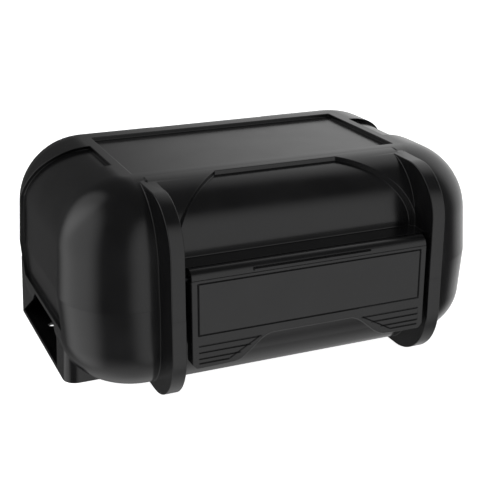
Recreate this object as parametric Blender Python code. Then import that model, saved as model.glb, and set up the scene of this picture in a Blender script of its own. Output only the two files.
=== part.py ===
"""Rodent bait station: a hinged lid on a floor tub, with a latch door, tray, baffles and baits.

Metres, +Z up, front towards -Y. The origin is on the floor, under the middle of the whole box.
"""
import math

import bmesh
import bpy
from mathutils import Matrix, Vector

# ---- overall -------------------------------------------------------------------------------
LENGTH = 0.3085           # from end wall to end wall, along X
DEPTH = 0.233             # from the rib fronts to the back of the hinge barrels, along Y
HEIGHT = 0.142            # from the floor to the top of the lid
WALL = 0.0025             # moulded wall
GAP = 0.0003              # clearance between pieces that touch
SEAM = 0.0002             # a buried face stops this far short of the face it joins
ARC_STEPS = 8             # facets in a quarter turn of a large radius
BEYOND = 0.05             # cutters run this far past what they cut

# ---- rounded body --------------------------------------------------------------------------
RIB_REACH = 0.0228        # the ribs stand this far in front of the domed ends
HINGE_BULGE = 0.0045      # the hinge barrels stand this far behind the back wall
BAY_DEPTH = 0.0218        # from the rib fronts back to the wall behind the door
BODY_BOTTOM = 0.0012      # the tub's belly hangs this far above the floor
PLAN_RADIUS = 0.050       # upright corners
TOP_RADIUS = 0.045        # edge round the top
BOTTOM_RADIUS = 0.032     # edge round the belly
SHOULDER_RADIUS = 0.0437  # front shoulder between the ribs
BELLY_RADIUS = 0.040      # front belly between the ribs
PARTING_Z = 0.065         # where the lid meets the tub
TAPER = 0.405             # share of its width that the body loses per metre from the parting line

# ---- ribs ----------------------------------------------------------------------------------
RIB_WIDTH = 0.0095
RIB_END_SET = 0.05625     # from the end wall to the rib's outer face
RIB_TOP_DROP = 0.0014     # the ribs run out into the top this far below it
RIB_TOP_RADIUS = 0.035
RIB_FOOT_RADIUS = 0.040
RIB_BACK_REACH = 0.066    # from the rib front to where it is buried in the body

# ---- recesses ------------------------------------------------------------------------------
RECESS = 0.003            # depth of the top pocket, the end channels and the front panel
POCKET_STRIP = 0.007      # flat strip between the pocket and the end channels
POCKET_FRONT_SET = 0.0512 # from the domed front back to the pocket
POCKET_BACK_SET = 0.0542  # from the back wall forward to the pocket
PANEL_TOP_HALF = 0.045    # half width of the front panel at its top edge
PANEL_TOP_BACK = 0.0389   # the panel's top edge lies this far behind the bay wall
CHANNEL_TOP_WIDTH = 0.0534
CHANNEL_BEND_WIDTH = 0.080
CHANNEL_BEND_DROP = 0.016  # from the top of the lid to where the channel widens less
CHANNEL_SIDE_WIDTH = 0.112
CHANNEL_SIDE_DROP = 0.041  # from the top of the lid to where the channel's sides are upright
CHANNEL_FOOT_Z = 0.040    # lower end of the end channels

# ---- end skirts and entries ----------------------------------------------------------------
SKIRT_LENGTH = 0.045      # from the end wall inwards
SKIRT_SIDE_SET = 0.00425  # from the end wall to the skirt's outer wall
SKIRT_FRONT_SET = 0.0449  # from the domed front back to the skirt's front wall
SKIRT_BACK_SET = 0.017    # from the back wall forward to the skirt's back wall
SKIRT_HEIGHT = 0.046
SKIRT_RADIUS = 0.0095
ENTRY_JAMB = 0.0255       # from the skirt's front wall to the entry's front edge
ENTRY_TOP_WIDTH = 0.056
ENTRY_BACK_JAMB = 0.0113  # from the skirt's back wall to the back of the sill
ENTRY_SILL_RISE = 0.0005  # the sill stands this far above the tunnel's floor
ENTRY_TOP_Z = 0.036
ENTRY_DEPTH = 0.008       # how far the entry is cut inwards from the skirt's outer wall
ANCHOR_RADIUS = 0.0035
ANCHOR_INSET = 0.017      # from the end wall
ANCHOR_BACK_SET = 0.0465  # from the skirt's back wall

# ---- latch door ----------------------------------------------------------------------------
DOOR_SIDE_GAP = 0.0037    # between the door and each rib
DOOR_THICKNESS = 0.0095
DOOR_BOTTOM = 0.0302
DOOR_AXIS_DROP = 0.0515   # from the top of the lid to the door's axis
DOOR_BARREL = 0.0065      # rounded top edge, which turns about the hinge rod
DOOR_SWEEP = 0.0004       # room for the barrel to turn in
DOOR_CORNER = 0.003
PULL_HEIGHT = 0.016       # finger cut-out
PULL_TOP_HALF = 0.028
PULL_FOOT_HALF = 0.056
PULL_STEPS = 8
EAVE_DEPTH = 0.013        # height of the lid's shelf above the door
EAVE_ROOT = 0.0095        # how far the shelf runs back into the shoulder
ROD_RADIUS = 0.0015
ROD_BITE = 0.005          # how far the hinge rod enters each rib
GROOVE = 0.0008
FRAME_SIDE = 0.0045       # from the door's side to the frame groove
FRAME_LOW = 0.0531
FRAME_TOP_DROP = 0.0023   # from the door's axis to the upper frame groove
GRIP_LEVELS = (0.0456, 0.0411, 0.0368, 0.0336)
GRIP_SHORT = 0.0075       # each lower grip line starts this much further from the cut-out
CATCH_Z = 0.050
CATCH_REACH = 0.0058
CATCH_HALF = 0.0125
CATCH_X = 0.046
HOOK_DROP = 0.010

# ---- lid hinge -----------------------------------------------------------------------------
BARREL_RADIUS = 0.0034
BARREL_SWEEP = 0.0004
PIN_RADIUS = 0.0015
HINGE_X = 0.062
KNUCKLE = 0.007           # each outer knuckle, on the tub
LID_KNUCKLE = 0.013       # middle knuckle, on the lid
KNUCKLE_GAP = 0.0005

# ---- bait chamber --------------------------------------------------------------------------
BAFFLE_X = 0.063
BAFFLE_THICKNESS = 0.0024
BAFFLE_DROP = 0.003       # from the parting line to the top of the baffles
PASSAGE_WIDTH = 0.040
PASSAGE_BACK_SET = 0.020
PASSAGE_LOW = 0.008
PASSAGE_HIGH = 0.046
GUIDE_THICKNESS = 0.0016
GUIDE_HEIGHT = 0.0045
BAIT_ROD_RADIUS = 0.002
BAIT_ROD_Z = 0.050
BAIT_ROD_SPACING = 0.050
BAIT_ROD_OVERHANG = 0.008  # past the outer face of each baffle
BAIT_ROD_GRIP = 0.013
BAIT_ROD_BEND = 0.005
NOTCH_ROOM = 0.0004
BLOCK_COUNT = 4
BLOCK_END_ROOM = 0.0079   # from a baffle to the nearest block
BLOCK_SPACE = 0.0006
BLOCK_RADIUS = 0.0145
BLOCK_FLUTE = 0.0011
BLOCK_FLUTES = 8
FLUTE_STEPS = 5
BLOCK_ROOM = 0.0006
CAP_RADIUS = 0.0042
CAP_LENGTH = 0.0065
CAP_BITE = 0.0045
TRAY_HEIGHT = 0.012
TRAY_WALL = 0.0018
TRAY_CORNER = 0.006
TRAY_SIDE_ROOM = 0.0012

# ---- how round the round parts are (sides of a full turn, or facets of a quarter turn) --------
THIN_ROD_SIDES = 16
BARREL_SIDES = 24
DOOR_BARREL_SIDES = 48
HOLE_SIDES = 20
CORNER_STEPS = 4
BEND_STEPS = 6

# ---- places worked out from the sizes above ------------------------------------------------
END_X = LENGTH / 2
FRONT_Y = -DEPTH / 2
DOME_Y = FRONT_Y + RIB_REACH
BAY_Y = FRONT_Y + BAY_DEPTH
BACK_Y = DEPTH / 2 - HINGE_BULGE
MIDDLE_Y = (DOME_Y + BACK_Y) / 2
SKIRT_X = END_X - SKIRT_SIDE_SET
RIB_OUT_X = END_X - RIB_END_SET
CHANNEL_X = RIB_OUT_X + POCKET_STRIP
RIB_IN_X = RIB_OUT_X - RIB_WIDTH
DOOR_HALF = RIB_IN_X - DOOR_SIDE_GAP
DOOR_BACK_Y = FRONT_Y + DOOR_THICKNESS
DOOR_AXIS_Y = FRONT_Y + DOOR_BARREL
DOOR_AXIS_Z = HEIGHT - DOOR_AXIS_DROP
EAVE_Z = DOOR_AXIS_Z + DOOR_BARREL
FRAME_HIGH = DOOR_AXIS_Z - FRAME_TOP_DROP
RIB_MIDDLE_X = (RIB_IN_X + RIB_OUT_X) / 2
HINGE_Y = DEPTH / 2 - BARREL_RADIUS
SKIRT_FRONT = DOME_Y + SKIRT_FRONT_SET
SKIRT_BACK = BACK_Y - SKIRT_BACK_SET
FLOOR_Z = BODY_BOTTOM + WALL
PIECE_FLOOR = FLOOR_Z + GAP
FLOOR_SHARE = 1 - TAPER * (PARTING_Z - BODY_BOTTOM)
FLOOR_FRONT_Y = BAY_Y + BELLY_RADIUS
FLOOR_BACK_Y = MIDDLE_Y + (BACK_Y - BOTTOM_RADIUS - MIDDLE_Y) * FLOOR_SHARE
BAFFLE_TOP = PARTING_Z - BAFFLE_DROP
ROW_HALF = BAFFLE_X - BAFFLE_THICKNESS / 2 - BLOCK_END_ROOM
BLOCK_LENGTH = (2 * ROW_HALF - BLOCK_SPACE * (BLOCK_COUNT - 1)) / BLOCK_COUNT
SIDES = (("left", -1), ("right", 1))


# ---- helpers -------------------------------------------------------------------------------
def clear_scene():
    for item in list(bpy.data.objects):
        bpy.data.objects.remove(item, do_unlink=True)


def collection(name):
    group = bpy.data.collections.new(name)
    bpy.context.scene.collection.children.link(group)
    return group


def material(name, colour, roughness, metallic=0.0):
    paint = bpy.data.materials.new(name)
    paint.use_nodes = True
    shader = paint.node_tree.nodes["Principled BSDF"]
    shader.inputs["Base Color"].default_value = (*colour, 1.0)
    shader.inputs["Roughness"].default_value = roughness
    shader.inputs["Metallic"].default_value = metallic
    return paint


clear_scene()
STATION = collection("bait_station")
CUTTERS = collection("cutters")
BLACK = material("black_plastic", (0.012, 0.012, 0.013), 0.35)
DARK = material("dark_plastic", (0.030, 0.031, 0.033), 0.5)
STEEL = material("steel", (0.62, 0.62, 0.64), 0.3, 1.0)
RUBBER = material("rubber", (0.02, 0.02, 0.02), 0.8)
BAIT = material("bait_wax", (0.05, 0.22, 0.30), 0.55)


def finish(name, bm, paint=None):
    """Turn a bmesh into an object: a piece when it has a material, otherwise a hidden cutter."""
    bmesh.ops.recalc_face_normals(bm, faces=bm.faces)
    mesh = bpy.data.meshes.new(name)
    bm.to_mesh(mesh)
    bm.free()
    item = bpy.data.objects.new(name, mesh)
    if paint:
        mesh.materials.append(paint)
        mesh.shade_smooth()
        mesh.set_sharp_from_angle(angle=math.radians(30))
        STATION.objects.link(item)
    else:
        item.hide_render = True
        item.display_type = "WIRE"
        CUTTERS.objects.link(item)
    return item


def add_box(bm, low, high):
    """Add an axis-aligned box to bm, and return its vertices."""
    size = [b - a for a, b in zip(low, high)]
    centre = [(a + b) / 2 for a, b in zip(low, high)]
    place = Matrix.Translation(centre) @ Matrix.Diagonal((*size, 1))
    return bmesh.ops.create_cube(bm, size=1, matrix=place)["verts"]


def add_rod(bm, radius, start_x, end_x, y, z, segments=BARREL_SIDES):
    """Add a cylinder along X."""
    place = (Matrix.Translation(((start_x + end_x) / 2, y, z)) @ Matrix.Rotation(math.pi / 2, 4, "Y")
             @ Matrix.Rotation(math.pi / segments, 4, "Z"))
    bmesh.ops.create_cone(bm, cap_ends=True, segments=segments, radius1=radius, radius2=radius,
                          depth=abs(end_x - start_x), matrix=place)


def round_edges(bm, chosen, radius, steps=ARC_STEPS):
    edges = [edge for edge in bm.edges if chosen(*[v.co for v in edge.verts])]
    bmesh.ops.bevel(bm, geom=edges, offset=radius, offset_type="OFFSET", segments=steps,
                    profile=0.5, affect="EDGES", material=-1, clamp_overlap=False)


def near(a, b):
    return abs(a - b) < 1e-6


def box(name, low, high, paint=None):
    bm = bmesh.new()
    add_box(bm, low, high)
    return finish(name, bm, paint)


def prism(name, outline, axis, low, high, paint=None):
    """Extrude a closed outline along X, Y or Z; the outline's points use the other two axes."""
    bm = bmesh.new()
    order = {"X": (2, 0, 1), "Y": (0, 2, 1), "Z": (0, 1, 2)}[axis]
    corners = []
    for a, b in outline:
        values = (a, b, low)
        corners.append(bm.verts.new([values[i] for i in order]))
    face = bm.faces.new(corners)
    grown = bmesh.ops.extrude_face_region(bm, geom=[face])["geom"]
    step = Vector([(high - low) if i == 2 else 0 for i in order])
    bmesh.ops.translate(bm, vec=step, verts=[v for v in grown if isinstance(v, bmesh.types.BMVert)])
    return finish(name, bm, paint)


def boolean(target, tool, operation="DIFFERENCE"):
    step = target.modifiers.new(operation.lower(), "BOOLEAN")
    step.object = tool
    step.operation = operation
    step.solver = "EXACT"


# ---- shared forms --------------------------------------------------------------------------
def body_form(name, inset, paint=None):
    """The rounded box of the whole body, widest at the parting line, pulled in by inset."""
    low = Vector((-END_X + inset, DOME_Y + inset, BODY_BOTTOM + inset))
    high = Vector((END_X - inset, BACK_Y - inset, HEIGHT - inset))
    bm = bmesh.new()
    add_box(bm, low, high)
    round_edges(bm, lambda a, b: near(a.x, b.x) and near(a.y, b.y), PLAN_RADIUS - inset)
    round_edges(bm, lambda a, b: near(a.z, high.z) and near(b.z, high.z), TOP_RADIUS - inset)
    round_edges(bm, lambda a, b: near(a.z, low.z) and near(b.z, low.z), BOTTOM_RADIUS - inset)
    bmesh.ops.bisect_plane(bm, geom=bm.verts[:] + bm.edges[:] + bm.faces[:],
                           plane_co=(0, 0, PARTING_Z), plane_no=(0, 0, 1))
    for corner in bm.verts:
        share = 1 - TAPER * abs(corner.co.z - PARTING_Z)
        corner.co.x *= share
        corner.co.y = MIDDLE_Y + (corner.co.y - MIDDLE_Y) * share
    return finish(name, bm, paint)


def bay_form(name, inset, half):
    """The fuller front between the ribs, pulled in by inset, from -half to half."""
    low = Vector((-half, BAY_Y + inset, BODY_BOTTOM + inset + SEAM))
    high = Vector((half, MIDDLE_Y, HEIGHT - inset - SEAM))
    bm = bmesh.new()
    add_box(bm, low, high)
    for level, radius in ((high.z, SHOULDER_RADIUS), (low.z, BELLY_RADIUS)):
        round_edges(bm, lambda a, b: near(a.y, low.y) and near(b.y, low.y)
                    and near(a.z, level) and near(b.z, level), radius - inset)
    return finish(name, bm)


def rib_form(name):
    """Both ribs: flat flanges whose lower ends are the front feet."""
    bm = bmesh.new()
    top = HEIGHT - RIB_TOP_DROP
    for _, side in SIDES:
        span = sorted((side * RIB_IN_X, side * RIB_OUT_X))
        add_box(bm, (span[0], FRONT_Y, 0), (span[1], FRONT_Y + RIB_BACK_REACH, top))
    for level, radius in ((top, RIB_TOP_RADIUS), (0, RIB_FOOT_RADIUS)):
        round_edges(bm, lambda a, b: near(a.y, FRONT_Y) and near(b.y, FRONT_Y)
                    and near(a.z, level) and near(b.z, level), radius)
    return finish(name, bm)


def skirt_form(name, inset):
    """The square ends that stand on the floor; inset hollows them for the entry tunnels."""
    bm = bmesh.new()
    outer = SKIRT_X - inset
    for _, side in SIDES:
        span = sorted((side * (END_X - SKIRT_LENGTH + inset), side * outer))
        add_box(bm, (span[0], SKIRT_FRONT + inset, inset),
                (span[1], SKIRT_BACK - inset, SKIRT_HEIGHT - inset))
    round_edges(bm, lambda a, b: near(a.x, b.x) and near(a.y, b.y) and near(abs(a.x), outer),
                SKIRT_RADIUS - inset, CORNER_STEPS)
    return finish(name, bm)


def panel_recess(name, depth, grow):
    """The sunk panels on the front and back shoulders, straight-sided when seen from above."""
    tools = []
    for label, wall_y, side in (("front", BAY_Y, 1), ("back", BACK_Y, -1)):
        top_y = wall_y + side * (PANEL_TOP_BACK + grow)
        flare_y = wall_y + side * grow
        far_y = wall_y - side * BEYOND
        wide = RIB_IN_X + grow + SEAM
        narrow = PANEL_TOP_HALF + grow
        outline = [(-narrow, top_y), (narrow, top_y), (wide, flare_y), (wide, far_y), (-wide, far_y),
                   (-wide, flare_y)]
        tools.append(prism(f"{name}_{label}", outline, "Z", EAVE_Z - grow, HEIGHT + BEYOND))
    boolean(tools[0], bay_form(f"{name}_front_floor", depth, END_X))
    boolean(tools[1], body_form(f"{name}_back_floor", depth))
    return tools


def channel_recess(name, depth, grow):
    """The shallow channels that run over both ends, wider towards the floor."""
    tools = []
    levels = ((CHANNEL_FOOT_Z - grow, CHANNEL_SIDE_WIDTH),
              (HEIGHT - CHANNEL_SIDE_DROP, CHANNEL_SIDE_WIDTH),
              (HEIGHT - CHANNEL_BEND_DROP, CHANNEL_BEND_WIDTH),
              (HEIGHT, CHANNEL_TOP_WIDTH), (HEIGHT + BEYOND, CHANNEL_TOP_WIDTH))
    outline = [(MIDDLE_Y - width / 2 - grow, z) for z, width in levels]
    outline += [(MIDDLE_Y + width / 2 + grow, z) for z, width in reversed(levels)]
    for label, side in SIDES:
        span = sorted((side * (CHANNEL_X - grow), side * (END_X + BEYOND)))
        tool = prism(f"{name}_{label}", outline, "X", span[0], span[1])
        boolean(tool, body_form(f"{name}_{label}_floor", depth))
        tools.append(tool)
    return tools


def pocket_recess(name, depth, grow):
    """The rectangular pocket in the top."""
    return box(name, (-RIB_OUT_X - grow, DOME_Y + POCKET_FRONT_SET - grow, HEIGHT - depth),
               (RIB_OUT_X + grow, BACK_Y - POCKET_BACK_SET + grow, HEIGHT + BEYOND))


def inside_form(name, inset):
    """The hollow of the closed box, which keeps one wall behind every recess."""
    hollow = body_form(name, inset)
    boolean(hollow, bay_form(f"{name}_bay", inset, RIB_IN_X - inset), "UNION")
    boolean(hollow, skirt_form(f"{name}_tunnels", inset), "UNION")
    for tool in panel_recess(f"{name}_panel", RECESS + inset, inset):
        boolean(hollow, tool)
    for tool in channel_recess(f"{name}_channel", RECESS + inset, inset):
        boolean(hollow, tool)
    boolean(hollow, pocket_recess(f"{name}_pocket", RECESS + inset, inset))
    return hollow


def hinge_rods(name, parts, radius):
    """Rods on the lid's hinge axis, one for each (start, end) from the middle of a hinge."""
    bm = bmesh.new()
    for _, side in SIDES:
        for start, end in parts:
            add_rod(bm, radius, side * HINGE_X + start, side * HINGE_X + end, HINGE_Y, PARTING_Z)
    return finish(name, bm)


LID_PARTS = [(-LID_KNUCKLE / 2, LID_KNUCKLE / 2)]
TUB_START = LID_KNUCKLE / 2 + KNUCKLE_GAP
TUB_END = TUB_START + KNUCKLE
TUB_PARTS = [(-TUB_END, -TUB_START), (TUB_START, TUB_END)]


def widened(parts):
    return [(start - KNUCKLE_GAP, end + KNUCKLE_GAP) for start, end in parts]


def hinge_leaf(target, own, other, name):
    """Give target its own knuckles, room for the other piece's knuckles, and the pin bores."""
    boolean(target, hinge_rods(f"{name}_room", widened(other), BARREL_RADIUS + BARREL_SWEEP))
    boolean(target, hinge_rods(f"{name}_knuckles", own, BARREL_RADIUS), "UNION")
    boolean(target, hinge_rods(f"{name}_bores", [(-TUB_END - GAP, TUB_END + GAP)], PIN_RADIUS + GAP))


# ---- the moulded shells --------------------------------------------------------------------
def lid_shell():
    lid = body_form("lid_shell", 0, BLACK)
    boolean(lid, bay_form("lid_bay", 0, RIB_MIDDLE_X), "UNION")
    for tool in panel_recess("lid_panel", RECESS, 0):
        boolean(lid, tool)
    eave = box("lid_eave", (-RIB_MIDDLE_X, DOOR_AXIS_Y, EAVE_Z - EAVE_DEPTH),
               (RIB_MIDDLE_X, BAY_Y + EAVE_ROOT, EAVE_Z))
    bm = bmesh.new()
    add_rod(bm, DOOR_BARREL + DOOR_SWEEP, -END_X, END_X, DOOR_AXIS_Y, DOOR_AXIS_Z,
            DOOR_BARREL_SIDES)
    boolean(eave, finish("lid_eave_sweep", bm))
    boolean(eave, box("lid_eave_front", (-END_X, FRONT_Y - BEYOND, 0),
                      (END_X, DOOR_BACK_Y + DOOR_SWEEP, DOOR_AXIS_Z)))
    boolean(lid, eave, "UNION")
    boolean(lid, rib_form("lid_ribs"), "UNION")
    boolean(lid, pocket_recess("lid_pocket", RECESS, 0))
    for tool in channel_recess("lid_channel", RECESS, 0):
        boolean(lid, tool)
    boolean(lid, inside_form("lid_inside", WALL))
    boolean(lid, box("lid_cut", (-END_X - BEYOND, FRONT_Y - BEYOND, -BEYOND),
                     (END_X + BEYOND, BACK_Y + BEYOND, PARTING_Z + GAP / 2)))
    hinge_leaf(lid, LID_PARTS, TUB_PARTS, "lid_hinge")
    bm = bmesh.new()
    reach = RIB_IN_X + ROD_BITE + GAP
    add_rod(bm, ROD_RADIUS + GAP, -reach, reach, DOOR_AXIS_Y, DOOR_AXIS_Z)
    boolean(lid, finish("lid_rod_bore", bm))
    return lid


def entry_outline():
    """The entry as seen from its end: upright at the front, sloping at the back."""
    front = SKIRT_FRONT + ENTRY_JAMB
    sill_z = WALL + ENTRY_SILL_RISE
    return [(front, sill_z), (SKIRT_BACK - ENTRY_BACK_JAMB, sill_z),
            (front + ENTRY_TOP_WIDTH, ENTRY_TOP_Z), (front, ENTRY_TOP_Z)]


def base_tub():
    tub = body_form("base_tub", 0, BLACK)
    boolean(tub, bay_form("tub_bay", 0, RIB_MIDDLE_X), "UNION")
    boolean(tub, skirt_form("tub_skirts", 0), "UNION")
    boolean(tub, rib_form("tub_ribs"), "UNION")
    for tool in channel_recess("tub_channel", RECESS, 0):
        boolean(tub, tool)
    boolean(tub, inside_form("tub_inside", WALL))
    boolean(tub, box("tub_cut", (-END_X - BEYOND, FRONT_Y - BEYOND, PARTING_Z - GAP / 2),
                     (END_X + BEYOND, BACK_Y + BEYOND, HEIGHT + BEYOND)))
    for label, side in SIDES:
        span = sorted((side * (SKIRT_X - ENTRY_DEPTH), side * (END_X + BEYOND)))
        boolean(tub, prism(f"tub_entry_{label}", entry_outline(), "X", span[0], span[1]))
        bm = bmesh.new()
        place = Matrix.Translation((side * (END_X - ANCHOR_INSET), SKIRT_BACK - ANCHOR_BACK_SET, 0))
        bmesh.ops.create_cone(bm, cap_ends=True, segments=HOLE_SIDES, radius1=ANCHOR_RADIUS,
                              radius2=ANCHOR_RADIUS, depth=ENTRY_TOP_Z, matrix=place)
        boolean(tub, finish(f"tub_anchor_{label}", bm))
        for face_label, face in SIDES:
            inner = side * BAFFLE_X + face * (BAFFLE_THICKNESS / 2 + GAP)
            across = sorted((inner, inner + face * GUIDE_THICKNESS))
            boolean(tub, box(f"tub_guide_{label}_{face_label}",
                             (across[0], FLOOR_FRONT_Y, FLOOR_Z - SEAM),
                             (across[1], FLOOR_BACK_Y, FLOOR_Z + GUIDE_HEIGHT)), "UNION")
        boolean(tub, box(f"tub_catch_{label}",
                         (side * CATCH_X - CATCH_HALF, BAY_Y - CATCH_REACH, CATCH_Z),
                         (side * CATCH_X + CATCH_HALF, BAY_Y + WALL / 2, CATCH_Z + WALL)), "UNION")
    hinge_leaf(tub, TUB_PARTS, LID_PARTS, "tub_hinge")
    return tub


# ---- latch door ----------------------------------------------------------------------------
def door_outline():
    """The door as seen from the front: its lower edge waves up into the finger cut-out."""
    wave = []
    for step in range(PULL_STEPS + 1):
        share = step / PULL_STEPS
        x = PULL_FOOT_HALF + (PULL_TOP_HALF - PULL_FOOT_HALF) * share
        wave.append((x, DOOR_BOTTOM + PULL_HEIGHT * (1 - math.cos(math.pi * share)) / 2))
    right = [(DOOR_HALF, DOOR_AXIS_Z), (DOOR_HALF, DOOR_BOTTOM + DOOR_CORNER),
             (DOOR_HALF - DOOR_CORNER, DOOR_BOTTOM)] + wave
    return right + [(-x, z) for x, z in reversed(right)]


def latch_door():
    door = prism("latch_door", door_outline(), "Y", FRONT_Y, DOOR_BACK_Y, BLACK)
    bm = bmesh.new()
    barrel_end = DOOR_HALF - SEAM
    add_rod(bm, DOOR_BARREL, -barrel_end, barrel_end, DOOR_AXIS_Y, DOOR_AXIS_Z, DOOR_BARREL_SIDES)
    boolean(door, finish("door_barrel", bm), "UNION")
    hook_y = BAY_Y - CATCH_REACH - GAP
    for label, side in SIDES:
        boolean(door, box(f"door_hook_{label}",
                          (side * CATCH_X - CATCH_HALF, DOOR_BACK_Y - WALL, CATCH_Z - HOOK_DROP),
                          (side * CATCH_X + CATCH_HALF, hook_y, CATCH_Z + WALL)), "UNION")
    bm = bmesh.new()
    side = DOOR_HALF - FRAME_SIDE
    front = (FRONT_Y - BEYOND, FRONT_Y + GROOVE)
    for z in (FRAME_LOW, FRAME_HIGH):
        add_box(bm, (-side, front[0], z - GROOVE / 2), (side, front[1], z + GROOVE / 2))
    grooves = [finish("door_frame_rows", bm)]
    bm = bmesh.new()
    for x in (-side, side):
        add_box(bm, (x - GROOVE / 2, front[0], FRAME_LOW), (x + GROOVE / 2, front[1], FRAME_HIGH))
    grooves.append(finish("door_frame_sides", bm))
    bm = bmesh.new()
    for row, z in enumerate(GRIP_LEVELS):
        inner = PULL_TOP_HALF + GRIP_SHORT * (row + 1)
        for mirror in (-1, 1):
            span = sorted((mirror * inner, mirror * side))
            add_box(bm, (span[0], front[0], z - GROOVE / 2), (span[1], front[1], z + GROOVE / 2))
    grooves.append(finish("door_grips", bm))
    for tool in grooves:
        boolean(door, tool)
    bm = bmesh.new()
    add_rod(bm, ROD_RADIUS + GAP, -END_X, END_X, DOOR_AXIS_Y, DOOR_AXIS_Z)
    boolean(door, finish("door_bore", bm))
    return door


def door_hinge_rod():
    bm = bmesh.new()
    reach = RIB_IN_X + ROD_BITE
    add_rod(bm, ROD_RADIUS, -reach, reach, DOOR_AXIS_Y, DOOR_AXIS_Z, THIN_ROD_SIDES)
    return finish("door_hinge_rod", bm, STEEL)


def lid_hinge_pins():
    for label, side in SIDES:
        bm = bmesh.new()
        add_rod(bm, PIN_RADIUS, side * HINGE_X - TUB_END, side * HINGE_X + TUB_END, HINGE_Y,
                PARTING_Z, THIN_ROD_SIDES)
        finish(f"lid_hinge_pin_{label}", bm, STEEL)


# ---- bait chamber --------------------------------------------------------------------------
def rod_rows():
    return (("front", MIDDLE_Y - BAIT_ROD_SPACING / 2), ("rear", MIDDLE_Y + BAIT_ROD_SPACING / 2))


def baffles():
    """Upright plates that stand in the tub's guides, hold the rods, and let the rodent pass."""
    room = inside_form("baffle_room", WALL + GAP)
    passage_back = BACK_Y - PASSAGE_BACK_SET
    for label, side in SIDES:
        near_x = side * BAFFLE_X - BAFFLE_THICKNESS / 2
        far_x = near_x + BAFFLE_THICKNESS
        plate = box(f"baffle_{label}", (near_x, FRONT_Y, -BEYOND), (far_x, BACK_Y, BAFFLE_TOP), DARK)
        boolean(plate, room, "INTERSECT")
        boolean(plate, box(f"baffle_passage_{label}",
                           (near_x - BEYOND, passage_back - PASSAGE_WIDTH, PASSAGE_LOW),
                           (far_x + BEYOND, passage_back, PASSAGE_HIGH)))
        half = BAIT_ROD_RADIUS + NOTCH_ROOM
        for row, y in rod_rows():
            boolean(plate, box(f"baffle_notch_{label}_{row}",
                               (near_x - BEYOND, y - half, BAIT_ROD_Z - half),
                               (far_x + BEYOND, y + half, BAFFLE_TOP + BEYOND)))


def rod_reach():
    return BAFFLE_X + BAFFLE_THICKNESS / 2 + BAIT_ROD_OVERHANG


def bait_rod(row, y):
    """A straight wire whose left end turns up as a grip."""
    reach = rod_reach()
    centre = Vector((-reach + BAIT_ROD_BEND, y, BAIT_ROD_Z + BAIT_ROD_BEND))
    path = [(-reach, y, BAIT_ROD_Z + BAIT_ROD_GRIP)]
    for step in range(BEND_STEPS + 1):
        turn = math.pi / 2 * step / BEND_STEPS
        path.append(centre + BAIT_ROD_BEND * Vector((-math.cos(turn), 0, -math.sin(turn))))
    path.append((reach, y, BAIT_ROD_Z))
    curve = bpy.data.curves.new(f"bait_rod_{row}", "CURVE")
    curve.dimensions = "3D"
    curve.bevel_depth = BAIT_ROD_RADIUS
    curve.bevel_resolution = 3
    curve.use_fill_caps = True
    spline = curve.splines.new("POLY")
    spline.points.add(len(path) - 1)
    for point, place in zip(spline.points, path):
        point.co = (*place, 1)
    curve.materials.append(STEEL)
    STATION.objects.link(bpy.data.objects.new(f"bait_rod_{row}", curve))


def rod_cap(row, y):
    """A rubber cap pushed on the rod's plain end."""
    reach = rod_reach()
    bm = bmesh.new()
    add_rod(bm, CAP_RADIUS, reach - CAP_BITE, reach - CAP_BITE + CAP_LENGTH, y, BAIT_ROD_Z,
            HOLE_SIDES)
    cap = finish(f"rod_cap_{row}", bm, RUBBER)
    bm = bmesh.new()
    add_rod(bm, BAIT_ROD_RADIUS + GAP, reach - BEYOND, reach + GAP, y, BAIT_ROD_Z, THIN_ROD_SIDES)
    boolean(cap, finish(f"rod_cap_bore_{row}", bm))


def bait_block(name, centre_x, y):
    """A fluted wax block with a hole down its middle."""
    outline = []
    points = BLOCK_FLUTES * FLUTE_STEPS
    for step in range(points):
        turn = 2 * math.pi * step / points
        radius = BLOCK_RADIUS - BLOCK_FLUTE * (1 + math.cos(BLOCK_FLUTES * turn)) / 2
        outline.append((y + radius * math.cos(turn), BAIT_ROD_Z + radius * math.sin(turn)))
    half = BLOCK_LENGTH / 2
    block = prism(name, outline, "X", centre_x - half, centre_x + half, BAIT)
    bm = bmesh.new()
    add_rod(bm, BAIT_ROD_RADIUS + BLOCK_ROOM, centre_x - BLOCK_LENGTH, centre_x + BLOCK_LENGTH, y,
            BAIT_ROD_Z, THIN_ROD_SIDES)
    boolean(block, finish(f"{name}_bore", bm))


def bait_rows():
    pitch = BLOCK_LENGTH + BLOCK_SPACE
    for row, y in rod_rows():
        bait_rod(row, y)
        rod_cap(row, y)
        for index in range(BLOCK_COUNT):
            bait_block(f"bait_block_{row}_{index + 1}", (index - (BLOCK_COUNT - 1) / 2) * pitch, y)


def bait_tray():
    """The lift-out tray between the baffles, with a front and a rear well."""
    half = BAFFLE_X - BAFFLE_THICKNESS / 2 - GUIDE_THICKNESS - GAP - TRAY_SIDE_ROOM
    front, back = FLOOR_FRONT_Y, FLOOR_BACK_Y
    bm = bmesh.new()
    add_box(bm, (-half, front, PIECE_FLOOR), (half, back, PIECE_FLOOR + TRAY_HEIGHT))
    upright = lambda a, b: near(a.x, b.x) and near(a.y, b.y)
    round_edges(bm, upright, TRAY_CORNER, CORNER_STEPS)
    tray = finish("bait_tray", bm, DARK)
    middle = (front + back) / 2
    bm = bmesh.new()
    for low, high in ((front + TRAY_WALL, middle - TRAY_WALL / 2),
                      (middle + TRAY_WALL / 2, back - TRAY_WALL)):
        add_box(bm, (-half + TRAY_WALL, low, PIECE_FLOOR + TRAY_WALL),
                (half - TRAY_WALL, high, PIECE_FLOOR + TRAY_HEIGHT + BEYOND))
    round_edges(bm, upright, TRAY_CORNER - TRAY_WALL, CORNER_STEPS)
    boolean(tray, finish("tray_wells", bm))


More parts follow.
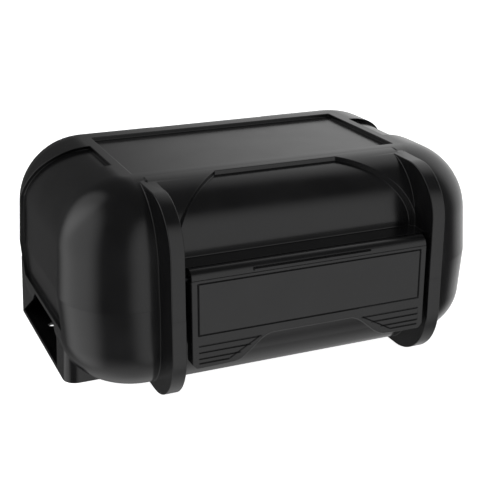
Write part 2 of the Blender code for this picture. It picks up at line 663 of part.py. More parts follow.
base_tub()
lid_shell()
latch_door()
door_hinge_rod()
lid_hinge_pins()
baffles()
bait_tray()
bait_rows()
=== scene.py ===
import math

import bmesh
import bpy
from mathutils import Matrix, Vector


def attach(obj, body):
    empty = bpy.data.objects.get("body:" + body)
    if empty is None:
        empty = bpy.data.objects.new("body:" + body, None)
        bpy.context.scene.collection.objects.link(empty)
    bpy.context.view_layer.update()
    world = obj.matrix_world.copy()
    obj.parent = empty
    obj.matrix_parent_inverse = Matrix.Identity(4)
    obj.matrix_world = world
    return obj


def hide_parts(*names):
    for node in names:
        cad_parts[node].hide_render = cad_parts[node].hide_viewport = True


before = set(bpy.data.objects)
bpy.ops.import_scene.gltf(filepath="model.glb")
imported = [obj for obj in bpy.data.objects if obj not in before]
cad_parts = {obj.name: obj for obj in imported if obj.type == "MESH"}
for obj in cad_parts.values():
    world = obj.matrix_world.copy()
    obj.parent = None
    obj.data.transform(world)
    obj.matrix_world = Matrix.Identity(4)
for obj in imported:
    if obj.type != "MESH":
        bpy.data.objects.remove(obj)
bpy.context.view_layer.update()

# ---- Camera ---------------------------------------------------------------------------------
# A short telephoto lens, a little above the lid and to the left of the latch door.
camera_data = bpy.data.cameras.new("camera")
camera_data.lens = 81.8
camera_data.sensor_width = 36.0
camera = bpy.data.objects.new("camera", camera_data)
camera.location = (-0.2995, -0.7046, 0.3472)
camera.rotation_euler = (math.radians(69.92), 0, math.radians(-22.81))
bpy.context.scene.collection.objects.link(camera)
bpy.context.scene.camera = camera
bpy.context.scene.view_settings.view_transform = "Standard"

# ---- Studio ---------------------------------------------------------------------------------
# A plain white glowing floor and backdrop, in a dim room whose large soft walls of light on the
# left, at the front right and behind to the right show in the gloss as broad soft bands.


def new_object(name, bm):
    mesh = bpy.data.meshes.new(name)
    bm.to_mesh(mesh)
    bm.free()
    thing = bpy.data.objects.new(name, mesh)
    bpy.context.scene.collection.objects.link(thing)
    return thing


FLOOR_HALF = 6.0
BACKDROP_RADIUS = 5.9
BACKDROP_HEIGHT = 8


def floor():
    """The glowing floor, and a backdrop of the same white that only the camera sees."""
    bm = bmesh.new()
    bmesh.ops.create_grid(bm, x_segments=1, y_segments=1, size=FLOOR_HALF)
    sweep = new_object("floor", bm)
    paint = bpy.data.materials.new("floor_white")
    paint.use_nodes = True
    shader = paint.node_tree.nodes["Principled BSDF"]
    shader.inputs["Base Color"].default_value = (0.86, 0.86, 0.86, 1)
    shader.inputs["Roughness"].default_value = 0.9
    shader.inputs["Specular IOR Level"].default_value = 0.1
    shader.inputs["Emission Color"].default_value = (1, 1, 1, 1)
    shader.inputs["Emission Strength"].default_value = 1.0
    sweep.data.materials.append(paint)
    sweep.visible_glossy = False
    bm = bmesh.new()
    bmesh.ops.create_cone(bm, cap_ends=False, segments=96, radius1=BACKDROP_RADIUS,
                          radius2=BACKDROP_RADIUS, depth=BACKDROP_HEIGHT,
                          matrix=Matrix.Translation((0, 0, BACKDROP_HEIGHT / 2 - 0.1)))
    wall = new_object("backdrop", bm)
    wall.data.materials.append(paint)
    wall.visible_glossy = False
    wall.visible_diffuse = False
    wall.visible_shadow = False


def room(dim, walls):
    """A dim room. Each wall of light has a bearing from +Y, a pitch, a reach and a strength."""
    world = bpy.data.worlds.new("studio")
    bpy.context.scene.world = world
    world.use_nodes = True
    tree = world.node_tree
    tall = tree.nodes.new("ShaderNodeVectorMath")
    tall.operation = "MULTIPLY"
    tall.inputs[1].default_value = (1, 1, 0.55)
    tree.links.new(tree.nodes.new("ShaderNodeTexCoord").outputs["Generated"], tall.inputs[0])
    even = tree.nodes.new("ShaderNodeVectorMath")
    even.operation = "NORMALIZE"
    tree.links.new(tall.outputs["Vector"], even.inputs[0])
    total = None
    for bearing, pitch, reach, strength in walls:
        turn, rise = math.radians(bearing), math.radians(pitch)
        facing = tree.nodes.new("ShaderNodeVectorMath")
        facing.operation = "DOT_PRODUCT"
        facing.inputs[1].default_value = (math.sin(turn) * math.cos(rise),
                                          math.cos(turn) * math.cos(rise), math.sin(rise))
        tree.links.new(even.outputs["Vector"], facing.inputs[0])
        fade = tree.nodes.new("ShaderNodeMapRange")
        fade.interpolation_type = "SMOOTHSTEP"
        fade.inputs["From Min"].default_value = math.cos(math.radians(reach))
        fade.inputs["From Max"].default_value = math.cos(math.radians(reach * 0.35))
        fade.inputs["To Max"].default_value = strength
        tree.links.new(facing.outputs["Value"], fade.inputs["Value"])
        add = tree.nodes.new("ShaderNodeMath")
        add.inputs[1].default_value = dim
        if total:
            tree.links.new(total, add.inputs[1])
        tree.links.new(fade.outputs["Result"], add.inputs[0])
        total = add.outputs["Value"]
    back = tree.nodes["Background"]
    tree.links.new(total, back.inputs["Strength"])
    back.inputs["Color"].default_value = (1, 1, 1, 1)


def fill_light(place, aim, size, power):
    """A soft square lamp that lights the open inside and leaves no spot on the gloss."""
    data = bpy.data.lights.new("fill", "AREA")
    data.size = size
    data.energy = power
    lamp = bpy.data.objects.new("fill", data)
    lamp.location = place
    lamp.rotation_euler = (Vector(place) - Vector(aim)).to_track_quat("Z", "Y").to_euler()
    lamp.visible_glossy = False
    bpy.context.scene.collection.objects.link(lamp)


LEFT_WALL = (-78, 0, 48, 1.0)
FRONT_RIGHT_WALL = (161, 0, 42, 0.80)
BACK_RIGHT_WALL = (58, 5, 48, 0.85)
GLOW_FROM_BELOW = (161, -90, 76, 0.6)
UPPER_LEFT_WALL = (-46, 24, 28, 0.6)
floor()
room(0.09, [LEFT_WALL, FRONT_RIGHT_WALL, BACK_RIGHT_WALL, GLOW_FROM_BELOW, UPPER_LEFT_WALL])
fill_light((-0.4, -0.9, 1.6), (0, 0, 0.07), 1.2, 14)

# ---- Lid --------------------------------------------------------------------------------------
# The upper shell, one black polypropylene moulding 2.5 mm thick, drafted so that it is widest where
# it meets the tub. It has a sunk pocket on top, a panel in each shoulder and a channel over each
# end, and carries the upper halves of the ribs, the door's eave and the hinges' middle knuckles.
STEPS = 24
END_X = 0.15425
FRONT_Y = -0.1165
TOP_Z = 0.142
SPLIT_Z = 0.065
SPLIT_GAP = 0.00006
SKIN = 0.0025
TAPER = 0.405
DOME_Y = FRONT_Y + 0.0228
BAY_Y = FRONT_Y + 0.0218
BACK_Y = -FRONT_Y - 0.0045
MIDDLE_Y = (DOME_Y + BACK_Y) / 2
BELLY_Z = 0.0012
PLAN_RADIUS = 0.050
TOP_RADIUS = 0.045
BOTTOM_RADIUS = 0.032
SHOULDER_RADIUS = 0.0437
BELLY_RADIUS = 0.040
RIB_OUT_X = END_X - 0.05625
RIB_IN_X = RIB_OUT_X - 0.0095
RIB_MIDDLE_X = (RIB_IN_X + RIB_OUT_X) / 2
CHANNEL_X = RIB_OUT_X + 0.007
SKIRT_X = END_X - 0.00425
SKIRT_FRONT = DOME_Y + 0.0449
SKIRT_BACK = BACK_Y - 0.017
RECESS = 0.003
SEAM = 0.0002
BEYOND = 0.05
SIDES = (-1, 1)
RIB_DEPTH = 0.066
RIB_TOP_DROP = 0.0014
RIB_TOP_RADIUS = 0.035
RIB_FOOT_RADIUS = 0.040
SKIRT_TOP_Z = 0.046
SKIRT_DRAFT = 0.0018
SKIRT_CORNER = 0.0095
PANEL_REACH = 0.0389
PANEL_TOP_HALF = 0.045
CHANNEL_LEVELS = ((0.040, 0.056), (TOP_Z - 0.041, 0.056), (TOP_Z - 0.016, 0.040), (TOP_Z, 0.0267))
POCKET_FRONT = DOME_Y + 0.0512
POCKET_BACK = BACK_Y - 0.0542
DOOR_BARREL = 0.0065
DOOR_SWEEP_ROOM = 0.0004
DOOR_BACK_Y = FRONT_Y + 0.0095
DOOR_AXIS_Y = FRONT_Y + DOOR_BARREL
DOOR_AXIS_Z = TOP_Z - 0.0515
EAVE_Z = DOOR_AXIS_Z + DOOR_BARREL
HINGE_RADIUS = 0.0034
HINGE_Y = -FRONT_Y - HINGE_RADIUS
HINGE_X = 0.062
HINGE_PIN = 0.0015
KNUCKLES = {"lid": [(-0.0065, 0.0065)], "tub": [(-0.014, -0.007), (0.007, 0.014)]}
KNUCKLE_ROOM = 0.0005
BORE_ROOM = 0.0003
HINGE_REACH = 0.0143
ROD_BORE = 0.0018
ROD_BITE = 0.005


def add_box(bm, low, high):
    size = [b - a for a, b in zip(low, high)]
    centre = [(a + b) / 2 for a, b in zip(low, high)]
    place = Matrix.Translation(centre) @ Matrix.Diagonal((*size, 1))
    return bmesh.ops.create_cube(bm, size=1, matrix=place)["verts"]


def add_rod(bm, radius, start, end, y, z, segments=48):
    place = (Matrix.Translation(((start + end) / 2, y, z)) @ Matrix.Rotation(math.pi / 2, 4, "Y")
             @ Matrix.Rotation(math.pi / segments, 4, "Z"))
    bmesh.ops.create_cone(bm, cap_ends=True, segments=segments, radius1=radius, radius2=radius,
                          depth=abs(end - start), matrix=place)


def near(a, b):
    """True where two places are the same but for rounding."""
    return abs(a - b) < 1e-6


def round_edges(bm, chosen, radius, steps=STEPS):
    edges = [edge for edge in bm.edges if chosen(*[v.co for v in edge.verts])]
    bmesh.ops.bevel(bm, geom=edges, offset=radius, offset_type="OFFSET", segments=steps,
                    profile=0.5, affect="EDGES", material=-1, clamp_overlap=False)


def closed(name, bm):
    bmesh.ops.recalc_face_normals(bm, faces=bm.faces)
    return new_object(name, bm)


def box(name, low, high):
    bm = bmesh.new()
    add_box(bm, low, high)
    return closed(name, bm)


def rod(name, radius, start, end, y, z, segments=48):
    bm = bmesh.new()
    add_rod(bm, radius, start, end, y, z, segments)
    return closed(name, bm)


def prism(name, outline, axis, low, high):
    """An outline extruded along X, Y or Z. The outline's points use the other two axes."""
    bm = bmesh.new()
    order = {"X": (2, 0, 1), "Y": (0, 2, 1), "Z": (0, 1, 2)}[axis]
    corners = []
    for a, b in outline:
        values = (a, b, low)
        corners.append(bm.verts.new([values[i] for i in order]))
    grown = bmesh.ops.extrude_face_region(bm, geom=[bm.faces.new(corners)])["geom"]
    step = Vector([(high - low) if i == 2 else 0 for i in order])
    bmesh.ops.translate(bm, vec=step, verts=[v for v in grown if isinstance(v, bmesh.types.BMVert)])
    return closed(name, bm)


def cut(piece, tool, operation="DIFFERENCE"):
    """Cut or join tool into piece, keep the result as piece's mesh, and drop the tool."""
    step = piece.modifiers.new("cut", "BOOLEAN")
    step.object = tool
    step.operation = operation
    step.solver = "EXACT"
    bpy.context.view_layer.update()
    graph = bpy.context.evaluated_depsgraph_get()
    result = bpy.data.meshes.new_from_object(piece.evaluated_get(graph))
    piece.modifiers.clear()
    piece.data = result
    bpy.data.objects.remove(tool)
    return piece


def soften(piece, width, angle=38, segments=2):
    """Break the piece's sharp edges, but not the flush split, and shade it as a smooth moulding."""
    bm = bmesh.new()
    bm.from_mesh(piece.data)
    bmesh.ops.remove_doubles(bm, verts=bm.verts, dist=2e-5)
    bmesh.ops.dissolve_degenerate(bm, edges=bm.edges, dist=2e-5)
    broken = bm.edges.layers.float.new("bevel_weight_edge")
    for edge in bm.edges:
        sharp = edge.calc_face_angle(math.pi) > math.radians(angle)
        on_split = all(abs(corner.co.z - SPLIT_Z) < 2 * SPLIT_GAP for corner in edge.verts)
        edge.smooth = not (sharp and on_split)
        edge[broken] = 1 if sharp and not on_split else 0
    bm.to_mesh(piece.data)
    bm.free()
    for face in piece.data.polygons:
        face.use_smooth = True
    edge = piece.modifiers.new("edge", "BEVEL")
    edge.width = width
    edge.segments = segments
    edge.limit_method = "WEIGHT"
    edge.use_clamp_overlap = False
    edge.miter_outer = "MITER_ARC"
    even = piece.modifiers.new("even", "WEIGHTED_NORMAL")
    even.weight = 60
    even.keep_sharp = True


def body_form(name, inset):
    """The rounded box of the whole station, pulled in by inset, narrower away from the split."""
    low = Vector((-END_X + inset, DOME_Y + inset, BELLY_Z + inset))
    high = Vector((END_X - inset, BACK_Y - inset, TOP_Z - inset))
    bm = bmesh.new()
    add_box(bm, low, high)
    round_edges(bm, lambda a, b: near(a.x, b.x) and near(a.y, b.y), PLAN_RADIUS - inset)
    round_edges(bm, lambda a, b: near(a.z, high.z) and near(b.z, high.z), TOP_RADIUS - inset)
    round_edges(bm, lambda a, b: near(a.z, low.z) and near(b.z, low.z), BOTTOM_RADIUS - inset)
    bmesh.ops.bisect_plane(bm, geom=bm.verts[:] + bm.edges[:] + bm.faces[:],
                           plane_co=(0, 0, SPLIT_Z), plane_no=(0, 0, 1))
    for corner in bm.verts:
        share = 1 - TAPER * abs(corner.co.z - SPLIT_Z)
        corner.co.x *= share
        corner.co.y = MIDDLE_Y + (corner.co.y - MIDDLE_Y) * share
    return closed(name, bm)


def bay_form(name, inset, half):
    """The fuller front between the ribs."""
    low = Vector((-half, BAY_Y + inset, BELLY_Z + inset + SEAM))
    high = Vector((half, MIDDLE_Y, TOP_Z - inset - SEAM))
    front = low.y
    bm = bmesh.new()
    add_box(bm, low, high)
    for level, radius in ((high.z, SHOULDER_RADIUS), (low.z, BELLY_RADIUS)):
        round_edges(bm, lambda a, b: near(a.y, front) and near(b.y, front) and near(a.z, level)
                    and near(b.z, level), radius - inset)
    return closed(name, bm)


def rib_form(name, side):
    """A front rib: a flat flange with a rounded top and a rounded foot."""
    top = TOP_Z - RIB_TOP_DROP
    inner, outer = sorted((side * RIB_IN_X, side * RIB_OUT_X))
    bm = bmesh.new()
    add_box(bm, (inner, FRONT_Y, 0), (outer, FRONT_Y + RIB_DEPTH, top))
    for level, radius in ((top, RIB_TOP_RADIUS), (0, RIB_FOOT_RADIUS)):
        round_edges(bm, lambda a, b: near(a.y, FRONT_Y) and near(b.y, FRONT_Y)
                    and near(a.z, level) and near(b.z, level), radius)
    return closed(name, bm)


def skirt_form(name, side, inset):
    """A square end that stands on the floor; with an inset, the tunnel inside it."""
    outer = side * (SKIRT_X - inset)
    low_x, high_x = sorted((side * (END_X - 0.045 + inset), outer))
    bm = bmesh.new()
    add_box(bm, (low_x, SKIRT_FRONT + inset, inset),
            (high_x, SKIRT_BACK - inset, SKIRT_TOP_Z - inset))
    round_edges(bm, lambda a, b: near(a.x, b.x) and near(a.y, b.y) and near(a.x, outer),
                SKIRT_CORNER - inset, 8)
    for corner in bm.verts:
        if near(corner.co.z, inset):
            corner.co.x += side * SKIRT_DRAFT
    return closed(name, bm)


def panel_recess(depth, grow, front):
    """The sunk panel on a shoulder, between straight sides that run out to the ribs."""
    wall_y, side = (BAY_Y, 1) if front else (BACK_Y, -1)
    top_y = wall_y + side * (PANEL_REACH + grow)
    flare_y = wall_y + side * grow
    far_y = wall_y - side * BEYOND
    wide = RIB_IN_X + grow + SEAM
    narrow = PANEL_TOP_HALF + grow
    outline = [(-narrow, top_y), (narrow, top_y), (wide, flare_y), (wide, far_y), (-wide, far_y),
               (-wide, flare_y)]
    tool = prism("panel", outline, "Z", EAVE_Z - grow, TOP_Z + BEYOND)
    keep = bay_form("panel_floor", depth, END_X) if front else body_form("panel_floor", depth)
    return cut(tool, keep)


def channel_recess(depth, grow, side):
    """The shallow channel over an end, which widens round the shoulder and runs down the end."""
    foot, foot_half = CHANNEL_LEVELS[0]
    above = (TOP_Z + BEYOND, CHANNEL_LEVELS[-1][1])
    levels = ((foot - grow, foot_half), *CHANNEL_LEVELS[1:], above)
    outline = [(MIDDLE_Y - half - grow, z) for z, half in levels]
    outline += [(MIDDLE_Y + half + grow, z) for z, half in reversed(levels)]
    start, end = sorted((side * (CHANNEL_X - grow), side * (END_X + BEYOND)))
    return cut(prism("channel", outline, "X", start, end), body_form("channel_floor", depth))


def pocket_recess(depth, grow):
    return box("pocket", (-RIB_OUT_X - grow, POCKET_FRONT - grow, TOP_Z - depth),
               (RIB_OUT_X + grow, POCKET_BACK + grow, TOP_Z + BEYOND))


def inside_form(inset):
    """The hollow of the closed station, which keeps one skin behind every recess."""
    hollow = cut(body_form("inside", inset), bay_form("bay", inset, RIB_IN_X - inset), "UNION")
    for side in SIDES:
        cut(hollow, skirt_form("tunnel", side, inset), "UNION")
    for front in (True, False):
        cut(hollow, panel_recess(RECESS + inset, inset, front))
    for side in SIDES:
        cut(hollow, channel_recess(RECESS + inset, inset, side))
    return cut(hollow, pocket_recess(RECESS + inset, inset))


def hinge_leaf(piece, own, other):
    """The piece's own knuckles, room for the other piece's, and the bore for the pins."""
    for side in SIDES:
        middle = side * HINGE_X
        for start, end in KNUCKLES[other]:
            cut(piece, rod("room", HINGE_RADIUS + 0.0004, middle + start - KNUCKLE_ROOM,
                           middle + end + KNUCKLE_ROOM, HINGE_Y, SPLIT_Z))
        for start, end in KNUCKLES[own]:
            cut(piece, rod("knuckle", HINGE_RADIUS, middle + start, middle + end, HINGE_Y, SPLIT_Z),
                "UNION")
        cut(piece, rod("bore", HINGE_PIN + BORE_ROOM, middle - HINGE_REACH, middle + HINGE_REACH,
                       HINGE_Y, SPLIT_Z))


def link(tree, source, target):
    tree.links.new(source, target)


def noise(tree, vector, scale, detail, rough=0.5):
    node = tree.nodes.new("ShaderNodeTexNoise")
    node.inputs["Scale"].default_value = scale
    node.inputs["Detail"].default_value = detail
    node.inputs["Roughness"].default_value = rough
    link(tree, vector, node.inputs["Vector"])
    return node.outputs["Fac"]


def mapped(tree, value, low, high, to_low, to_high):
    node = tree.nodes.new("ShaderNodeMapRange")
    for name, number in (("From Min", low), ("From Max", high), ("To Min", to_low),
                         ("To Max", to_high)):
        node.inputs[name].default_value = number
    link(tree, value, node.inputs["Value"])
    return node.outputs["Result"]


def blend(tree, factor, first, second):
    node = tree.nodes.new("ShaderNodeMix")
    node.data_type = "RGBA"
    node.inputs["A"].default_value = (*first, 1)
    node.inputs["B"].default_value = (*second, 1)
    link(tree, factor, node.inputs["Factor"])
    return node.outputs["Result"]


def material(name, first, second, gloss, tone_scale, grain_scale, grain_depth, metal=0.0):
    """A surface whose colour and gloss drift slowly, with a fine grain that tilts its normals."""
    paint = bpy.data.materials.new(name)
    paint.use_nodes = True
    tree = paint.node_tree
    shader = tree.nodes["Principled BSDF"]
    shader.inputs["Metallic"].default_value = metal
    place = tree.nodes.new("ShaderNodeTexCoord").outputs["Object"]
    drift = noise(tree, place, tone_scale, 4.0)
    link(tree, blend(tree, mapped(tree, drift, 0.3, 0.7, 0, 1), first, second),
         shader.inputs["Base Color"])
    link(tree, mapped(tree, drift, 0.3, 0.7, gloss[0], gloss[1]), shader.inputs["Roughness"])
    bump = tree.nodes.new("ShaderNodeBump")
    bump.inputs["Strength"].default_value = 1.0
    bump.inputs["Distance"].default_value = grain_depth
    link(tree, noise(tree, place, grain_scale, 2.0), bump.inputs["Height"])
    link(tree, bump.outputs["Normal"], shader.inputs["Normal"])
    return paint


def dress(piece, paint, body, node):
    """Give a piece its material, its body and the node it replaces."""
    piece.data.materials.clear()
    piece.data.materials.append(paint)
    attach(piece, body)
    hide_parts(node)


SHELL_BLACK = material("shell_black", (0.0035, 0.0035, 0.0037), (0.0055, 0.0055, 0.0058),
                       (0.17, 0.23), 35, 2600, 0.000002)

lid = cut(body_form("lid_moulding", 0), bay_form("bay", 0, RIB_MIDDLE_X), "UNION")
for front in (True, False):
    cut(lid, panel_recess(RECESS, 0, front))
eave = box("eave", (-RIB_MIDDLE_X, DOOR_AXIS_Y, EAVE_Z - 2 * DOOR_BARREL),
           (RIB_MIDDLE_X, BAY_Y + 0.0095, EAVE_Z))
cut(eave, rod("sweep", DOOR_BARREL + DOOR_SWEEP_ROOM, -END_X, END_X, DOOR_AXIS_Y, DOOR_AXIS_Z))
cut(eave, box("front", (-END_X, FRONT_Y - BEYOND, 0),
              (END_X, DOOR_BACK_Y + DOOR_SWEEP_ROOM, DOOR_AXIS_Z)))
cut(lid, eave, "UNION")
for side in SIDES:
    cut(lid, rib_form("rib", side), "UNION")
cut(lid, pocket_recess(RECESS, 0))
for side in SIDES:
    cut(lid, channel_recess(RECESS, 0, side))
cut(lid, inside_form(SKIN))
cut(lid, box("below", (-1, -1, -1), (1, 1, SPLIT_Z + SPLIT_GAP)))
hinge_leaf(lid, "lid", "tub")
bore_reach = RIB_IN_X + ROD_BITE + BORE_ROOM
cut(lid, rod("rod_bore", ROD_BORE, -bore_reach, bore_reach, DOOR_AXIS_Y, DOOR_AXIS_Z))
soften(lid, 0.0005)
dress(lid, SHELL_BLACK, "lid", "lid_shell")

# ---- Tub --------------------------------------------------------------------------------------
# The lower shell, moulded in the same black. Its square ends stand on the floor and hold the
# entries; the floor has anchor holes, guides for the baffles, and catches for the latch door.
tub = cut(body_form("tub_moulding", 0), bay_form("bay", 0, RIB_MIDDLE_X), "UNION")
for side in SIDES:
    cut(tub, skirt_form("skirt", side, 0), "UNION")
    cut(tub, rib_form("rib", side), "UNION")
for side in SIDES:
    cut(tub, channel_recess(RECESS, 0, side))
cut(tub, inside_form(SKIN))
cut(tub, box("above", (-1, -1, SPLIT_Z - SPLIT_GAP), (1, 1, 1)))
floor_z = BELLY_Z + SKIN
floor_front = BAY_Y + BELLY_RADIUS
floor_back = MIDDLE_Y + (BACK_Y - BOTTOM_RADIUS - MIDDLE_Y) * (1 - TAPER * (SPLIT_Z - BELLY_Z))
entry_low, entry_high = 0.003, 0.036
jamb = SKIRT_FRONT + 0.0255
entry = [(jamb, entry_low), (SKIRT_BACK - 0.0113, entry_low), (jamb + 0.056, entry_high),
         (jamb, entry_high)]
entry_depth = 0.008
anchor_radius = 0.0035
anchor_x, anchor_y = END_X - 0.017, SKIRT_BACK - 0.0465
BAFFLE_X = 0.063
guide_room, guide_wall, guide_height = 0.0015, 0.0016, 0.0045
CATCH_X = 0.046
CATCH_HALF = 0.0125
CATCH_TOP_Z = 0.0525
catch_low_z = 0.050
catch_reach = 0.0058
for side in SIDES:
    start, end = sorted((side * (SKIRT_X - entry_depth), side * (END_X + BEYOND)))
    cut(tub, prism("entry", entry, "X", start, end))
    bm = bmesh.new()
    bmesh.ops.create_cone(bm, cap_ends=True, segments=40, radius1=anchor_radius,
                          radius2=anchor_radius, depth=0.036,
                          matrix=Matrix.Translation((side * anchor_x, anchor_y, 0)))
    cut(tub, closed("anchor", bm))
    for face in SIDES:
        inner = side * BAFFLE_X + face * guide_room
        across = sorted((inner, inner + face * guide_wall))
        cut(tub, box("guide", (across[0], floor_front, floor_z - SEAM),
                     (across[1], floor_back, floor_z + guide_height)), "UNION")
    cut(tub, box("catch", (side * CATCH_X - CATCH_HALF, BAY_Y - catch_reach, catch_low_z),
                 (side * CATCH_X + CATCH_HALF, BAY_Y + SKIN / 2, CATCH_TOP_Z)), "UNION")
hinge_leaf(tub, "tub", "lid")
soften(tub, 0.00035)
dress(tub, SHELL_BLACK, "base", "base_tub")

# ---- Latch door -------------------------------------------------------------------------------
# A flap moulded in the same black that turns about a rod through its rounded top edge. Its lower
# edge waves up into a finger cut-out with an eased rim, and two hooks behind it snap on the tub.
# Fine moulded lines frame its middle, ridge its lower corners and mark a slot along its top.
half = RIB_IN_X - 0.0037
lower_z = 0.0302
corner_cut = 0.003
cutout_half, cutout_top_half = 0.056, 0.028
cutout_high = 0.016
rim_radius = 0.0016
wave = []
for step in range(33):
    share = step / 32
    wave.append((cutout_half - (cutout_half - cutout_top_half) * share,
                 lower_z + cutout_high * (1 - math.cos(math.pi * share)) / 2))
right = [(half, DOOR_AXIS_Z), (half, lower_z + corner_cut), (half - corner_cut, lower_z)] + wave
door = prism("door", right + [(-x, z) for x, z in reversed(right)], "Y", FRONT_Y, DOOR_BACK_Y)
bm = bmesh.new()
bm.from_mesh(door.data)
round_edges(bm, lambda a, b: near(a.y, FRONT_Y) and near(b.y, FRONT_Y)
            and max(a.z, b.z) < lower_z + cutout_high + 0.0001
            and max(abs(a.x), abs(b.x)) < cutout_half + 0.0002, rim_radius, 4)
bm.to_mesh(door.data)
bm.free()
cut(door, rod("barrel", DOOR_BARREL, SEAM - half, half - SEAM, DOOR_AXIS_Y, DOOR_AXIS_Z, 96),
    "UNION")
hook_in, hook_out = CATCH_X - CATCH_HALF, CATCH_X + CATCH_HALF
hook_low_z = 0.0400
hook = [(hook_in, CATCH_TOP_Z), (hook_in, 0.0468), (0.0450, hook_low_z), (hook_out, hook_low_z),
        (hook_out, CATCH_TOP_Z)]
for side in SIDES:
    cut(door, prism("hook", [(side * x, z) for x, z in hook], "Y", DOOR_BACK_Y - SKIN,
                    BAY_Y - 0.0061), "UNION")

GROOVE_DEPTH = 0.0008
GROOVE_HALF = 0.0004


def groove(x_start, x_end, z_start, z_end, deep=GROOVE_DEPTH):
    """A fine line moulded into the door's front."""
    cut(door, box("groove", (min(x_start, x_end), FRONT_Y - 0.01, z_start),
                  (max(x_start, x_end), FRONT_Y + deep, z_end)))


frame_x = half - 0.0045
frame_low, frame_high = 0.0531, DOOR_AXIS_Z - 0.0023
grip_rows = (0.0456, 0.0411, 0.0368, 0.0336)
grip_start, grip_step = 0.037, 0.0075
slant = [(0.0370, 0.0460), (0.0380, 0.0460), (0.0600, 0.0336), (0.0590, 0.0336)]
for z in (frame_low, frame_high):
    groove(-frame_x - GROOVE_HALF, frame_x + GROOVE_HALF, z - GROOVE_HALF, z + GROOVE_HALF)
for side in SIDES:
    groove(side * frame_x - GROOVE_HALF, side * frame_x + GROOVE_HALF, frame_low, frame_high)
    for row, z in enumerate(grip_rows):
        groove(side * (grip_start + grip_step * row), side * frame_x, z - GROOVE_HALF,
               z + GROOVE_HALF)
    cut(door, prism("groove", [(side * x, z) for x, z in slant], "Y", FRONT_Y - 0.01,
                    FRONT_Y + GROOVE_DEPTH))
slot_half = 0.0422
groove(-slot_half, slot_half, 0.0931, 0.0937, 0.0015)
groove(-0.0426, -0.0420, 0.0922, 0.0937, 0.0012)
cut(door, rod("rod_bore", ROD_BORE, -END_X, END_X, DOOR_AXIS_Y, DOOR_AXIS_Z))
soften(door, 0.00045)
dress(door, SHELL_BLACK, "door", "latch_door")

# ---- Pins and door rod ------------------------------------------------------------------------
# Drawn steel wire, cut to length. The door's blackened rod is pressed into both ribs, and the two
# short bright pins run through the knuckles at the back.
STEEL_WIRE = material("steel_wire", (0.50, 0.50, 0.51), (0.62, 0.62, 0.63), (0.22, 0.36), 300, 1800,
                      0.000003, 1.0)


BLACK_STEEL = material("black_steel", (0.020, 0.020, 0.021), (0.032, 0.032, 0.034), (0.30, 0.42),
                       300, 1800, 0.000003, 1.0)


def wire(name, radius, start, end, y, z, body, node, paint=STEEL_WIRE):
    """A cut length of straight wire along X."""
    piece = rod(name, radius, start, end, y, z, 32)
    soften(piece, 0.0002, 60)
    dress(piece, paint, body, node)


rod_radius = 0.0015
rod_reach = RIB_IN_X + ROD_BITE
pin_half = 0.014
wire("door_rod", rod_radius, -rod_reach, rod_reach, DOOR_AXIS_Y, DOOR_AXIS_Z, "lid",
     "door_hinge_rod", BLACK_STEEL)
for side, label in zip(SIDES, ("left", "right")):
    wire("hinge_pin_" + label, HINGE_PIN, side * HINGE_X - pin_half, side * HINGE_X + pin_half,
         HINGE_Y, SPLIT_Z, "base", "lid_hinge_pin_" + label)

# ---- Baffles ----------------------------------------------------------------------------------
# Upright plates of satin black plastic that slide down between the tub's guides. Each has a
# doorway at the back for the animal and two open notches that hold the bait rods.
INNER_BLACK = material("inner_black", (0.010, 0.010, 0.011), (0.016, 0.016, 0.017), (0.34, 0.46),
                       60, 2200, 0.000006)
BAFFLE_HALF = 0.0012
baffle_drop = 0.003
doorway_front, doorway_back = BACK_Y - 0.060, BACK_Y - 0.020
doorway_low, doorway_high = 0.008, 0.046
notch_half = 0.0024
BAIT_Z = 0.050
BAIT_ROWS = (("front", MIDDLE_Y - 0.025), ("rear", MIDDLE_Y + 0.025))
for side, label in zip(SIDES, ("left", "right")):
    near_x, far_x = side * BAFFLE_X - BAFFLE_HALF, side * BAFFLE_X + BAFFLE_HALF
    plate = box("baffle_" + label + "_plate", (near_x, FRONT_Y, -BEYOND),
                (far_x, BACK_Y, SPLIT_Z - baffle_drop))
    cut(plate, inside_form(SKIN + SEAM), "INTERSECT")
    cut(plate, box("doorway", (near_x - BEYOND, doorway_front, doorway_low),
                   (far_x + BEYOND, doorway_back, doorway_high)))
    for row, y in BAIT_ROWS:
        cut(plate, box("notch", (near_x - BEYOND, y - notch_half, BAIT_Z - notch_half),
                       (far_x + BEYOND, y + notch_half, SPLIT_Z)))
    soften(plate, 0.0003)
    dress(plate, INNER_BLACK, "base", "baffle_" + label)

# ---- Bait tray --------------------------------------------------------------------------------
# A satin black tray with a front and a rear well that lifts out of the chamber for cleaning. Its
# corners are rounded inside and out.
tray_half = BAFFLE_X - BAFFLE_HALF - 0.003
tray_z = floor_z + SEAM
tray_height = 0.012
tray_wall = 0.0018
tray_corner = 0.006
well_z = tray_z + tray_wall
tray_middle = (floor_front + floor_back) / 2


def upright(a, b):
    """True for an edge that stands on the floor."""
    return near(a.x, b.x) and near(a.y, b.y)


bm = bmesh.new()
add_box(bm, (-tray_half, floor_front, tray_z), (tray_half, floor_back, tray_z + tray_height))
round_edges(bm, upright, tray_corner, 10)
tray = closed("tray", bm)
for low, high in ((floor_front + tray_wall, tray_middle - tray_wall / 2),
                  (tray_middle + tray_wall / 2, floor_back - tray_wall)):
    bm = bmesh.new()
    add_box(bm, (tray_wall - tray_half, low, well_z), (tray_half - tray_wall, high, BEYOND))
    round_edges(bm, upright, tray_corner - tray_wall, 10)
    round_edges(bm, lambda a, b: near(a.z, well_z) and near(b.z, well_z), 0.0012, 5)
    cut(tray, closed("well", bm))
soften(tray, 0.00035)
dress(tray, INNER_BLACK, "tray", "bait_tray")

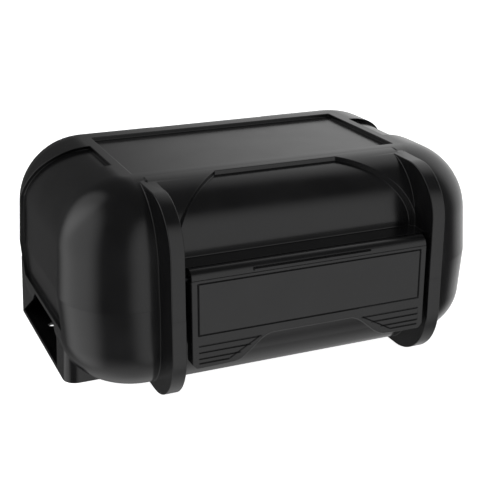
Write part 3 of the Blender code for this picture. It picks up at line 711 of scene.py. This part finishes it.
# ---- Bait rods and caps -----------------------------------------------------------------------
# Bright 4 mm steel wire, turned up at the left as a grip and laid in the baffles' notches. A black
# rubber cap pushed on the plain end keeps the blocks on.
RUBBER_BLACK = material("rubber_black", (0.012, 0.012, 0.012), (0.020, 0.020, 0.020), (0.58, 0.72),
                        120, 900, 0.00001)
WIRE_RADIUS = 0.002
WIRE_BEND = 0.005
GRIP_HEIGHT = 0.013
cap_radius = 0.0042
cap_bite, cap_past = 0.0045, 0.002
bait_reach = BAFFLE_X + BAFFLE_HALF + 0.008


def bait_wire(name, y):
    """A grip that stands up at the left, a quarter bend, and a straight run to the right."""
    bm = bmesh.new()
    bmesh.ops.create_circle(bm, cap_ends=True, segments=32, radius=WIRE_RADIUS,
                            matrix=Matrix.Translation((-bait_reach, y, BAIT_Z + GRIP_HEIGHT)))
    grown = bmesh.ops.extrude_face_region(bm, geom=bm.faces[:])["geom"]
    bmesh.ops.translate(bm, vec=(0, 0, WIRE_BEND - GRIP_HEIGHT),
                        verts=[v for v in grown if isinstance(v, bmesh.types.BMVert)])
    end = [f for f in grown if isinstance(f, bmesh.types.BMFace)]
    turned = bmesh.ops.spin(bm, geom=end, cent=(WIRE_BEND - bait_reach, y, BAIT_Z + WIRE_BEND),
                            axis=(0, -1, 0), angle=math.pi / 2, steps=12)["geom_last"]
    end = [f for f in turned if isinstance(f, bmesh.types.BMFace)]
    grown = bmesh.ops.extrude_face_region(bm, geom=end)["geom"]
    bmesh.ops.translate(bm, vec=(2 * bait_reach - WIRE_BEND, 0, 0),
                        verts=[v for v in grown if isinstance(v, bmesh.types.BMVert)])
    bmesh.ops.remove_doubles(bm, verts=bm.verts, dist=1e-6)
    inner = [face for face in bm.faces if all(len(edge.link_faces) > 2 for edge in face.edges)]
    bmesh.ops.delete(bm, geom=inner, context="FACES_ONLY")
    return closed(name, bm)


for row, y in BAIT_ROWS:
    bar = bait_wire(row + "_bar", y)
    soften(bar, 0.0003, 60)
    dress(bar, STEEL_WIRE, "baits_" + row, "bait_rod_" + row)
    cap = rod(row + "_stop", cap_radius, bait_reach - cap_bite, bait_reach + cap_past, y, BAIT_Z)
    cut(cap, rod("bore", WIRE_RADIUS + SEAM, 0, bait_reach + SEAM, y, BAIT_Z))
    soften(cap, 0.0007, 60, 4)
    dress(cap, RUBBER_BLACK, "baits_" + row, "rod_cap_" + row)

# ---- Bait blocks ------------------------------------------------------------------------------
# Pressed blocks of blue-green wax and grain, fluted outside and bored through, four threaded on
# each rod. Their edges are softened by the mould.
BAIT_WAX = material("bait_wax", (0.035, 0.17, 0.16), (0.065, 0.25, 0.22), (0.42, 0.62), 240, 700,
                    0.00012)
BLOCK_RADIUS = 0.0145
BLOCK_FLUTE = 0.0011
BLOCK_FLUTES = 8
BLOCK_COUNT = 4
block_room = 0.0006
row_half = BAFFLE_X - BAFFLE_HALF - 0.0079
block_length = (2 * row_half - (BLOCK_COUNT - 1) * block_room) / BLOCK_COUNT
for row, y in BAIT_ROWS:
    for number in range(BLOCK_COUNT):
        middle = (number - (BLOCK_COUNT - 1) / 2) * (block_length + block_room)
        bm = bmesh.new()
        add_rod(bm, BLOCK_RADIUS, middle - block_length / 2, middle + block_length / 2, y, BAIT_Z,
                128)
        for corner in bm.verts:
            across, up = corner.co.y - y, corner.co.z - BAIT_Z
            flute = BLOCK_FLUTE * (1 + math.cos(BLOCK_FLUTES * math.atan2(up, across))) / 2
            corner.co.y -= across * flute / BLOCK_RADIUS
            corner.co.z -= up * flute / BLOCK_RADIUS
        block = closed(row + "_block_" + str(number + 1), bm)
        cut(block, rod("bore", WIRE_RADIUS + block_room, middle - block_length,
                       middle + block_length, y, BAIT_Z, 32))
        soften(block, 0.0009, 60, 4)
        dress(block, BAIT_WAX, "baits_" + row, "bait_block_" + row + "_" + str(number + 1))
